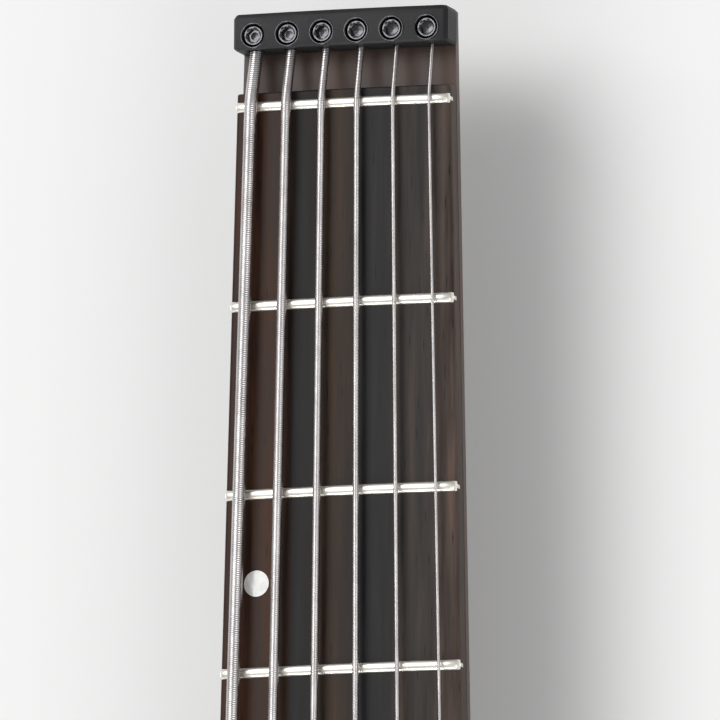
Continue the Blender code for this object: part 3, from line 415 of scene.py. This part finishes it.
def keep_primitive(name, surface, body):
    """Settles the primitive that was just added, with its place and size in its mesh."""
    bpy.ops.object.transform_apply(location=True, rotation=True, scale=True)
    piece = bpy.context.active_object
    piece.name = name
    piece.data.materials.append(surface)
    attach(piece, body)


def upright(node):
    """Middle of an upright round node, its lower and upper ends, and its radius."""
    low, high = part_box(node)
    return (low.x + high.x) / 2, (low.y + high.y) / 2, low.z, high.z, (high.x - low.x) / 2


def settle_normals(mesh):
    """Smooth shading that leaves level faces level, however long their triangles are."""
    limit = math.cos(math.radians(CREASE_ANGLE))
    around = [[] for _ in mesh.vertices]
    for face in mesh.polygons:
        for vertex in face.vertices:
            around[vertex].append(face)
    normals = []
    for face in mesh.polygons:
        for vertex in face.vertices:
            near = [other for other in around[vertex] if other.normal.dot(face.normal) > limit]
            level = [other.normal for other in near if abs(other.normal.z) > LEVEL]
            normal = level[0] if level else sum((other.normal * other.area for other in near), Vector())
            normals.append(normal.normalized())
    mesh.polygons.foreach_set("use_smooth", [True] * len(mesh.polygons))
    mesh.normals_split_custom_set(normals)


def softened(node, width):
    """The node's own shape with its sharp edges rounded, or only shaded anew where the width is 0."""
    mesh = nodes[node].data.copy()
    work = bmesh.new()
    work.from_mesh(mesh)
    bmesh.ops.remove_doubles(work, verts=work.verts, dist=MERGE_DISTANCE)
    if width:
        bmesh.ops.dissolve_limit(work, angle_limit=math.radians(1), verts=work.verts, edges=work.edges)
    work.to_mesh(mesh)
    work.free()
    slot = slot_of_node[node]
    piece = add_piece(node + "_finished", mesh, surfaces[slot], body_of_node[node], (node,))
    if not width:
        settle_normals(mesh)
        return
    bevel = piece.modifiers.new("edges", "BEVEL")
    bevel.width = width
    bevel.segments = BEVEL_SEGMENTS
    bevel.limit_method = "ANGLE"
    bevel.angle_limit = math.radians(BEVEL_ANGLE)
    bevel.harden_normals = False
    bpy.ops.object.modifier_apply(modifier="edges")
    bpy.ops.object.shade_smooth_by_angle(angle=math.radians(SMOOTH_ANGLE))


def tube(route, radius_at, sides, step):
    """Round tube along a bent line, its radius given by the distance run."""
    stations = []
    run = 0.0
    for here, after in zip(route, route[1:]):
        length = (after - here).length
        count = max(1, round(length / step))
        for part in range(count):
            stations.append((here.lerp(after, part / count), run + length * part / count))
        run += length
    stations.append((route[-1], run))
    sections = []
    for index, (point, distance) in enumerate(stations):
        before = stations[max(index - 1, 0)][0]
        after = stations[min(index + 1, len(stations) - 1)][0]
        along = (after - before).normalized()
        across = Vector((1, 0, 0)) - along * along.x
        across.normalize()
        upward = across.cross(along)
        radius = radius_at(distance)
        section = []
        for side in range(sides):
            angle = 2 * math.pi * side / sides
            sideways = across * (radius * math.cos(angle))
            section.append(point + sideways + upward * (radius * math.sin(angle)))
        sections.append(section)
    return swept(sections, "tube")


def string_x(index, distance):
    """Place of a string across the board, at a distance from the zero fret."""
    share = min(distance / SCALE_LENGTH, 1.0)
    spacing = NUT_SPACING + (BRIDGE_SPACING - NUT_SPACING) * share
    return (index - MIDDLE_STRING) * spacing


def string_rest(index, distance):
    """Height of the underside of a string between the zero fret and its saddle."""
    at_nut = BOARD_TOP - crown(string_x(index, 0)) + FRET_HEIGHT + GAP
    at_saddle = BOARD_TOP - crown(string_x(index, SCALE_LENGTH)) + FRET_HEIGHT + GAP + ACTION
    return at_nut + (at_saddle - at_nut) * distance / saddle_distance(index)


def saddle_distance(index):
    """Distance of a saddle's crest from the zero fret, longer for a thicker string."""
    return SCALE_LENGTH + SADDLE_SETBACK + SADDLE_GAUGE_SHARE * STRING_DIAMETERS[index]


def string_route(index):
    """Centre line of a string, from its clamp over the zero fret and its saddle into its carriage."""
    radius = STRING_DIAMETERS[index] / 2
    end = saddle_distance(index)
    mouth = SCALE_LENGTH + CARRIAGE_FRONT
    floor = BOARD_TOP + STRING_FLOOR + radius
    leaving = BOARD_TOP + STRING_EXIT - crown(string_x(index, 0)) + radius
    bend = STRING_BEND
    top = string_rest(index, 0) + radius
    fall = (top - leaving) / HEADPIECE_NEAR
    crest = string_rest(index, end) + radius
    bore = PLATE_FLOOR + STRING_BORE_HEIGHT
    drop = (crest - bore) / (mouth - end)
    places = [(-HEADPIECE_NEAR - STRING_TAIL_IN, floor), (-HEADPIECE_NEAR - STRING_DIP, floor),
              (-HEADPIECE_NEAR, leaving), (-2 * bend, top - fall * 1.5 * bend), (0, top),
              (end - bend, string_rest(index, end - bend) + radius), (end, crest - 0.3 * drop * bend),
              (end + 2 * bend, crest - 1.6 * drop * bend), (mouth, bore), (mouth + STRING_IN_CARRIAGE, bore)]
    return [Vector((string_x(index, distance), place(distance), height)) for distance, height in places]


def swept(sections, name):
    """Closed skin over sections with equal counts of points."""
    vertices = [point for section in sections for point in section]
    count = len(sections[0])
    last = len(sections) - 1
    faces = [tuple(range(count)), tuple(reversed(range(last * count, (last + 1) * count)))]
    for ring in range(last):
        for here in range(count):
            after = (here + 1) % count
            faces.append((ring * count + here, (ring + 1) * count + here, (ring + 1) * count + after,
                          ring * count + after))
    mesh = bpy.data.meshes.new(name)
    mesh.from_pydata(vertices, [], faces)
    work = bmesh.new()
    work.from_mesh(mesh)
    bmesh.ops.recalc_face_normals(work, faces=work.faces)
    work.to_mesh(mesh)
    work.free()
    return mesh


# Outlines of turned pieces: each gives its reach for an angle and a height.

def hexagon(angle, height):
    """Reach of a hexagon's edge, as a share of its corner radius."""
    return math.cos(math.pi / 6) / math.cos(angle % (math.pi / 3) - math.pi / 6)


def cross(angle, height):
    """Reach of a cross recess with arms a quarter as wide as long."""
    turn = abs((angle + math.pi / 4) % (math.pi / 2) - math.pi / 4)
    if math.tan(turn) <= 0.25:
        return 1 / math.cos(turn)
    return 0.25 / math.sin(turn)


def flutes(count, depth):
    return lambda angle, height: 1 - depth * (0.5 - 0.5 * math.cos(count * angle))


def thread(pitch, depth):
    return lambda angle, height: 1 - depth * (0.5 - 0.5 * math.cos(2 * math.pi * height / pitch - angle))


def lathed(path, start, direction, sides, name):
    """Turned skin; each path point has a height, a radius and the outline's shape or None."""
    axis = Vector(direction)
    across = axis.orthogonal().normalized()
    other = axis.cross(across)
    sections = []
    for height, radius, shape in path:
        section = []
        for side in range(sides):
            angle = 2 * math.pi * side / sides
            reach = radius * (shape(angle, height) if shape else 1)
            outward = across * math.cos(angle) + other * math.sin(angle)
            section.append(Vector(start) + axis * height + outward * reach)
        sections.append(section)
    return swept(sections, name)


def make_screw_head(name, centre, direction, radius, drive, body):
    """Low screw head with a recess, its rim at centre."""
    bevel = 0.18 * radius
    socket = 0.52 * radius
    deep = 0.5 * radius
    path = [(-0.6 * radius, 0.8 * radius, None), (-bevel, radius, None), (-0.4 * bevel, 0.96 * radius, None),
            (0, radius - bevel, None), (0, 1.15 * socket, drive), (-0.08 * radius, socket, drive),
            (-deep, 0.9 * socket, drive), (-1.1 * deep, 0.2 * socket, drive)]
    add_piece(name, lathed(path, centre, direction, TURNED_SIDES, name), screw_steel, body, ())


def make_string(index, name):
    """Round-wound string, its turns cut as shallow grooves."""
    pitch = WRAP_PITCHES[index]
    radius = STRING_DIAMETERS[index] / 2
    groove = WRAP_DEPTH * pitch

    def wound_radius(distance):
        return radius - groove * (0.5 - 0.5 * math.cos(2 * math.pi * distance / pitch))

    add_piece("wound_string_" + name, tube(string_route(index), wound_radius, STRING_SIDES, pitch / 2),
              wound_wire("wound_wire_" + name, pitch), "frame", ("string_" + name,),
              smooth=STRING_SMOOTH_ANGLE)


def make_clamp_screw(name):
    """Socket screw with a narrow point over its string, and the rim of its hole."""
    x, y, bottom, top, wide = upright("clamp_screw_" + name)
    tall = top - bottom
    shoulder = 0.6 * tall
    path = [(0, 0.9 * MM, None), (shoulder - 1.0 * MM, 1.0 * MM, None), (shoulder, 1.0 * MM, None),
            (shoulder, wide, None), (tall - 0.45 * MM, wide, None), (tall - 0.2 * MM, wide - 0.1 * MM, None),
            (tall, wide - 0.35 * MM, None), (tall, 1.9 * MM, None), (tall - 0.25 * MM, 1.75 * MM, hexagon),
            (tall - 2.0 * MM, 1.7 * MM, hexagon), (tall - 2.3 * MM, 0.3 * MM, hexagon)]
    add_piece("socket_screw_" + name, lathed(path, (x, y, bottom), UP, TURNED_SIDES, "socket_screw"),
              screw_steel, "clamp_" + name, ("clamp_screw_" + name,))
    bpy.ops.object.select_all(action="DESELECT")
    bpy.ops.mesh.primitive_torus_add(
        location=(x, y, top + CLAMP_SINK - 0.1 * MM), major_segments=TURNED_SIDES, minor_segments=10,
        major_radius=wide + GAP + 0.12 * MM, minor_radius=0.22 * MM)
    bpy.ops.object.shade_smooth()
    keep_primitive("hole_rim_" + name, screw_steel, "frame")


def make_tuner(index, name):
    """Threaded rod with its collar and knurled thumb knob."""
    rod = 2.0 * MM
    collar = 4.0 * MM
    lead = 0.5 * MM
    wall = PLATE_REAR - CARRIAGE_FRONT - TUNER_TIP_GAP + GAP
    knob = wall + 2.0 * MM
    end = knob + TUNER_KNOB_LENGTH
    wide = TUNER_KNOB_RADIUS
    knurl = flutes(24, 0.05)
    winding = thread(TUNER_PITCH, 0.14)
    steps = round((wall - lead) / (TUNER_PITCH / 4))
    path = [(0, rod - 0.4 * MM, None)]
    path += [(lead + (wall - lead) * step / steps, rod, winding) for step in range(steps + 1)]
    path += [(wall, collar, None), (knob, collar, None), (knob, wide - 0.8 * MM, None),
             (knob + 0.7 * MM, wide, None), (knob + 0.8 * MM, wide, knurl)]
    for share, radius, shape in ((0.42, wide, knurl), (0.45, wide - 0.5 * MM, None),
                                 (0.55, wide - 0.5 * MM, None), (0.58, wide, knurl)):
        path.append((knob + share * TUNER_KNOB_LENGTH, radius, shape))
    path += [(end - 0.8 * MM, wide, knurl), (end - 0.7 * MM, wide, None), (end, wide - 0.7 * MM, None),
             (end, 3.4 * MM, None), (end - 0.6 * MM, 3.0 * MM, None), (end - 0.6 * MM, 0.4 * MM, None)]
    start = (string_x(index, SCALE_LENGTH), place(SCALE_LENGTH + CARRIAGE_FRONT + TUNER_TIP_GAP),
             PLATE_FLOOR + TUNER_HEIGHT)
    add_piece("thumb_screw_" + name, lathed(path, start, (0, -1, 0), TURNED_SIDES, "thumb_screw"),
              surfaces["black_metal"], "tuner_" + name, ("tuner_" + name,))


def make_control_knob(name):
    """Fluted knob on its shaft, with a pointer line."""
    x, y, bottom, high, wide = upright(name + "_knob")
    top = high - bottom
    skirt = top - KNOB_HEIGHT
    grip = flutes(36, 0.035)
    path = [(0, SHAFT_RADIUS, None), (skirt, SHAFT_RADIUS, None), (skirt, wide - 0.4 * MM, None),
            (skirt + 0.4 * MM, wide, None), (skirt + 2.0 * MM, wide, None),
            (skirt + 2.3 * MM, wide - 0.2 * MM, None), (skirt + 2.4 * MM, wide - 0.2 * MM, grip),
            (top - 2.6 * MM, 0.95 * wide, grip), (top - 2.4 * MM, 0.95 * wide, None),
            (top - 1.2 * MM, 0.9 * wide, None), (top - 0.3 * MM, 0.8 * wide, None),
            (top, 0.72 * wide, None), (top, 0.42 * wide, None), (top - 0.35 * MM, 0.38 * wide, None),
            (top - 0.35 * MM, 0.05 * wide, None)]
    add_piece(name + "_cap", lathed(path, (x, y, bottom), UP, KNOB_SIDES, name), surfaces["black_metal"],
              name + "_knob", (name + "_knob",))
    bpy.ops.object.select_all(action="DESELECT")
    bpy.ops.mesh.primitive_cube_add(size=1, location=(x, y + 0.57 * wide, high - 0.1 * MM))
    bpy.context.active_object.scale = (0.9 * MM, 0.26 * wide, 0.4 * MM)
    keep_primitive(name + "_pointer", pearl_inlay, name + "_knob")


def make_neck_bolt(number):
    """Flat-headed bolt with a cross recess."""
    node = "neck_bolt_%d" % number
    x, y, bottom, top, wide = upright(node)
    tall = top - bottom
    shank = wide / 2
    path = [(1.6 * MM, 0.6 * MM, cross), (0, 2.4 * MM, cross), (0, wide - 0.8 * MM, None),
            (0.8 * MM, wide, None), (3.0 * MM, wide, None), (3.0 * MM, shank, None),
            (tall - MM, shank, None), (tall, shank - 0.8 * MM, None)]
    add_piece("cross_bolt_%d" % number, lathed(path, (x, y, bottom), UP, TURNED_SIDES, "cross_bolt"),
              surfaces["bright_steel"], "frame", (node,))


def make_small_screws():
    """Screws of the plate, saddles, carriages, pickups and control cover, and the nut of the switch."""
    for index, name in enumerate(STRING_NAMES):
        x = string_x(index, SCALE_LENGTH)
        centre = (x, place(SCALE_LENGTH - PLATE_SCREW_PLACE), PLATE_FLOOR + 0.1 * MM)
        make_screw_head("plate_screw_" + name, centre, UP, PLATE_SCREW_RADIUS, cross, "frame")
        saddle_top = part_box("saddle_" + name)[1].z
        middle = saddle_distance(index) - HEIGHT_SCREW_PLACE
        for side, word in SIDES:
            centre = (x + side * HEIGHT_SCREW_ASIDE, place(middle), saddle_top - HEIGHT_SCREW_DROP)
            make_screw_head("height_screw_%s_%s" % (name, word), centre, UP, HEIGHT_SCREW_RADIUS, hexagon,
                            "saddle_" + name)
        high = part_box("carriage_" + name)[1]
        centre = (x, high.y - BALL_CLAMP_PLACE, high.z + 0.15 * MM)
        make_screw_head("ball_clamp_" + name, centre, UP, BALL_CLAMP_RADIUS, hexagon, "carriage_" + name)
    for pickup in ("neck_pickup", "bridge_pickup"):
        low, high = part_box(pickup)
        for side, word in SIDES:
            centre = (side * (high.x - PICKUP_SCREW_INSET), (low.y + high.y) / 2, high.z + 0.1 * MM)
            make_screw_head("%s_screw_%s" % (pickup, word), centre, UP, PICKUP_SCREW_RADIUS, cross, "frame")
    low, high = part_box("control_cover")
    number = 0
    for x in (low.x + COVER_SCREW_INSET, high.x - COVER_SCREW_INSET):
        for y in (low.y + COVER_SCREW_INSET, (low.y + high.y) / 2, high.y - COVER_SCREW_INSET):
            number += 1
            make_screw_head("cover_screw_%d" % number, (x, y, low.z - 0.1 * MM), (0, 0, -1),
                            COVER_SCREW_RADIUS, cross, "frame")
    x, y = upright("switch_lever")[:2]
    washer = [(0, 5.2 * MM, None), (0.3 * MM, 5.2 * MM, None), (0.45 * MM, 5.0 * MM, None),
              (0.45 * MM, 4.5 * MM, hexagon), (2.0 * MM, 4.5 * MM, hexagon), (2.3 * MM, 4.1 * MM, hexagon),
              (2.3 * MM, 3.2 * MM, None)]
    body_top = PLATE_FLOOR - PLATE_THICKNESS - GAP
    add_piece("switch_nut", lathed(washer, (x, y, body_top), UP, TURNED_SIDES, "switch_nut"),
              surfaces["bright_steel"], "frame", ())


def make_board():
    """Arched board with rolled edges, standing on its glue line."""
    distances = [-BOARD_NUT_END, -BOARD_NUT_END + 0.3 * MM]
    distances += [LAST_FRET * step / BOARD_ROWS for step in range(BOARD_ROWS + 1)]
    distances.append(LAST_FRET + BOARD_BODY_END)
    sections = []
    for row, distance in enumerate(distances):
        y = place(distance)
        half = board_width(distance) / 2 - (0.1 * MM if row == 0 else 0)
        top = BOARD_TOP - (0.25 * MM if row == 0 else 0)
        rolled = []
        for step in range(ROLL_STEPS):
            angle = math.pi / 2 * step / ROLL_STEPS
            x = half - EDGE_ROLL * (1 - math.cos(angle)) * EDGE_ROLL_REACH
            rolled.append((x, top - crown(x) - EDGE_ROLL * (1 - math.sin(angle))))
        inner = half - EDGE_ROLL * EDGE_ROLL_REACH
        arch = [inner * (1 - 2 * step / BOARD_STEPS) for step in range(BOARD_STEPS + 1)]
        section = [(-half, y, BOARD_BOTTOM), (half, y, BOARD_BOTTOM)]
        section += [(x, y, z) for x, z in rolled]
        section += [(x, y, top - crown(x)) for x in arch]
        section += [(-x, y, z) for x, z in reversed(rolled)]
        sections.append(section)
    add_piece("fingerboard", swept(sections, "fingerboard"), surfaces["board_wood"], "frame", ("fretboard",))


def make_fret(name, distance, width, lift=0.0, replaced=()):
    """Bent wire with a domed crown, filed ends and the tang showing at the board's sides."""
    y = place(distance)
    half = board_width(distance) / 2 - FRET_END_GAP
    height = FRET_HEIGHT - lift
    slope = FRET_END_SLOPE
    outer = [(-half, 0.04), (-half + 0.35 * slope, 0.55), (-half + 0.7 * slope, 0.86)]
    inner = half - slope
    rows = outer + [(inner * (2 * step / FRET_STEPS - 1), 1.0) for step in range(FRET_STEPS + 1)]
    rows += [(-x, share) for x, share in reversed(outer)]
    sections = []
    for x, share in rows:
        base = BOARD_TOP - crown(x) + lift
        narrow = 0.86 + 0.14 * share
        section = [(x, y - width / 2 * narrow, base - FRET_SINK)]
        for step in range(FRET_ARC_STEPS + 1):
            angle = math.pi * step / FRET_ARC_STEPS
            rise = max(math.sin(angle), 0) ** 0.8 * height * share
            section.append((x, y - math.cos(angle) * width / 2 * narrow, base + rise))
        section.append((x, y + width / 2 * narrow, base - FRET_SINK))
        sections.append(section)
    add_piece(name, swept(sections, name), surfaces["fret_wire"], "frame", replaced,
              smooth=FRET_SMOOTH_ANGLE)
    edge = board_width(distance) / 2
    for side, word in SIDES:
        bpy.ops.object.select_all(action="DESELECT")
        bpy.ops.mesh.primitive_cube_add(size=1, location=(side * (edge - TANG_INSET), y,
                                                          BOARD_TOP - crown(edge) - TANG_SIZE[2] / 2))
        bpy.context.active_object.scale = TANG_SIZE
        keep_primitive("%s_tang_%s" % (name, word), surfaces["fret_wire"], "frame")


def make_dot(name, x, distance):
    """Pearl disc let into the arched board."""
    sections = []
    for depth, share in [(-DOT_DEPTH, 1.0)] + [(DOT_PROUD, share) for share in (1.0, 0.8, 0.5, 0.2)]:
        section = []
        for side in range(DOT_SIDES):
            angle = 2 * math.pi * side / DOT_SIDES
            dot_x = x + DOT_RADIUS * share * math.cos(angle)
            dot_y = place(distance) + DOT_RADIUS * share * math.sin(angle)
            section.append((dot_x, dot_y, BOARD_TOP - crown(dot_x) + depth))
        sections.append(section)
    add_piece(name, swept(sections, name), pearl_inlay, "frame", ())


def make_inlays():
    """Pearl dots on the face of the board and small ones on its bass side."""
    for number in INLAY_FRETS:
        middle = (fret_distance(number) + fret_distance(number - 1)) / 2
        x = DOT_PLACE * string_x(MIDDLE_STRING + 1, middle)
        half = board_width(middle) / 2
        shifts = (-DOUBLE_DOT_SHIFT, DOUBLE_DOT_SHIFT) if number in DOUBLE_INLAYS else (0.0,)
        for part, shift in enumerate(shifts, 1):
            make_dot("dot_%02d_%d" % (number, part), x, middle + shift)
            bpy.ops.object.select_all(action="DESELECT")
            bpy.ops.mesh.primitive_cylinder_add(
                vertices=24, radius=SIDE_DOT_RADIUS, depth=SIDE_DOT_LENGTH, rotation=(0, math.pi / 2, 0),
                location=(-half + SIDE_DOT_INSET, place(middle + shift * 0.5),
                          BOARD_TOP - crown(half) - SIDE_DOT_DROP))
            keep_primitive("side_dot_%02d_%d" % (number, part), pearl_inlay, "frame")


# Camera, fitted to the photograph
YAW = math.radians(18.0)
PITCH = math.radians(9.12)
ROLL = math.radians(0.32)
PIXELS_PER_METRE = 4174.0
DISTANCE = 6.325
FRAME_PIXELS = 720
SENSOR_WIDTH = 36
REFERENCE = Vector((0, NUT_Y - 64 * MM, BOARD_TOP))
REFERENCE_PIXEL = (340.4, 365.8)


def make_camera():
    """Camera that puts the reference point on its pixel, at the fitted angles and scale."""
    towards = Vector((math.sin(YAW) * math.cos(PITCH), -math.sin(PITCH), math.cos(YAW) * math.cos(PITCH)))
    level = Vector((0, 1, 0)).cross(towards).normalized()
    upright = towards.cross(level)
    right = level * math.cos(ROLL) + upright * math.sin(ROLL)
    up = upright * math.cos(ROLL) - level * math.sin(ROLL)
    aside = (REFERENCE_PIXEL[0] - FRAME_PIXELS / 2) / PIXELS_PER_METRE
    above = (FRAME_PIXELS / 2 - REFERENCE_PIXEL[1]) / PIXELS_PER_METRE
    aim = REFERENCE - right * aside - up * above
    data = bpy.data.cameras.new("camera")
    data.sensor_width = SENSOR_WIDTH
    data.lens = PIXELS_PER_METRE * DISTANCE * SENSOR_WIDTH / FRAME_PIXELS
    data.clip_end = 100
    camera = bpy.data.objects.new("camera", data)
    matrix = Matrix((right, up, towards)).transposed().to_4x4()
    matrix.translation = aim + towards * DISTANCE
    camera.matrix_world = matrix
    bpy.context.scene.collection.objects.link(camera)
    bpy.context.scene.camera = camera


def area_light(name, place_at, aim, size, power):
    data = bpy.data.lights.new(name, "AREA")
    data.size = size
    data.energy = power
    lamp = bpy.data.objects.new(name, data)
    lamp.location = place_at
    lamp.rotation_euler = (Vector(aim) - Vector(place_at)).to_track_quat("-Z", "Y").to_euler()
    bpy.context.scene.collection.objects.link(lamp)


def make_studio():
    """Pale floor just under the bass, a soft surround and three large lamps."""
    bpy.ops.object.select_all(action="DESELECT")
    bpy.ops.mesh.primitive_plane_add(size=14, location=(0, 0, -0.0002))
    floor = bpy.context.active_object
    floor.name = "floor"
    paint = Finish("floor_paint", (0.8, 0.8, 0.79), 0.75)
    floor.data.materials.append(paint.material)
    world = bpy.data.worlds.new("studio")
    world.use_nodes = True
    background = world.node_tree.nodes["Background"]
    background.inputs["Color"].default_value = (0.92, 0.93, 0.95, 1)
    background.inputs["Strength"].default_value = 0.45
    bpy.context.scene.world = world
    area_light("key", (-1.3, 1.3, 2.5), (0, 0.2, 0), 1.8, 50)
    area_light("fill", (1.8, -0.8, 1.8), (0, 0, 0), 1.6, 22)
    area_light("tail", (-0.5, -2.2, 1.1), (0, 0.1, 0), 1.0, 34)


for node_name, node_object in nodes.items():
    node_object.data.materials.clear()
    node_object.data.materials.append(surfaces[slot_of_node[node_name]])
make_camera()
make_studio()
bpy.context.scene.view_settings.view_transform = "Standard"

for index, name in enumerate(STRING_NAMES):
    make_string(index, name)
make_board()
make_fret("zero_fret_wire", 0, ZERO_FRET_WIDTH, lift=ZERO_FRET_LIFT, replaced=("zero_fret",))
for number in range(1, FRET_COUNT + 1):
    make_fret("fret_%02d" % number, fret_distance(number), FRET_WIDTH)
make_inlays()
for node_name in ("headpiece", "bridge_plate", "neck_pickup", "bridge_pickup"):
    softened(node_name, PANEL_ROUNDING)
for index, name in enumerate(STRING_NAMES):
    make_clamp_screw(name)
    softened("saddle_" + name, SADDLE_ROUNDING)
    softened("carriage_" + name, SADDLE_ROUNDING)
    make_tuner(index, name)
for name in ("volume", "blend", "tone"):
    make_control_knob(name)
for number in range(1, 5):
    make_neck_bolt(number)
make_small_screws()
for node_name in ("body", "neck", "horn_strap_button", "tail_strap_button", "output_jack", "switch_lever",
                  "switch_housing", "truss_wheel", "control_cover"):
    softened(node_name, 0.0)
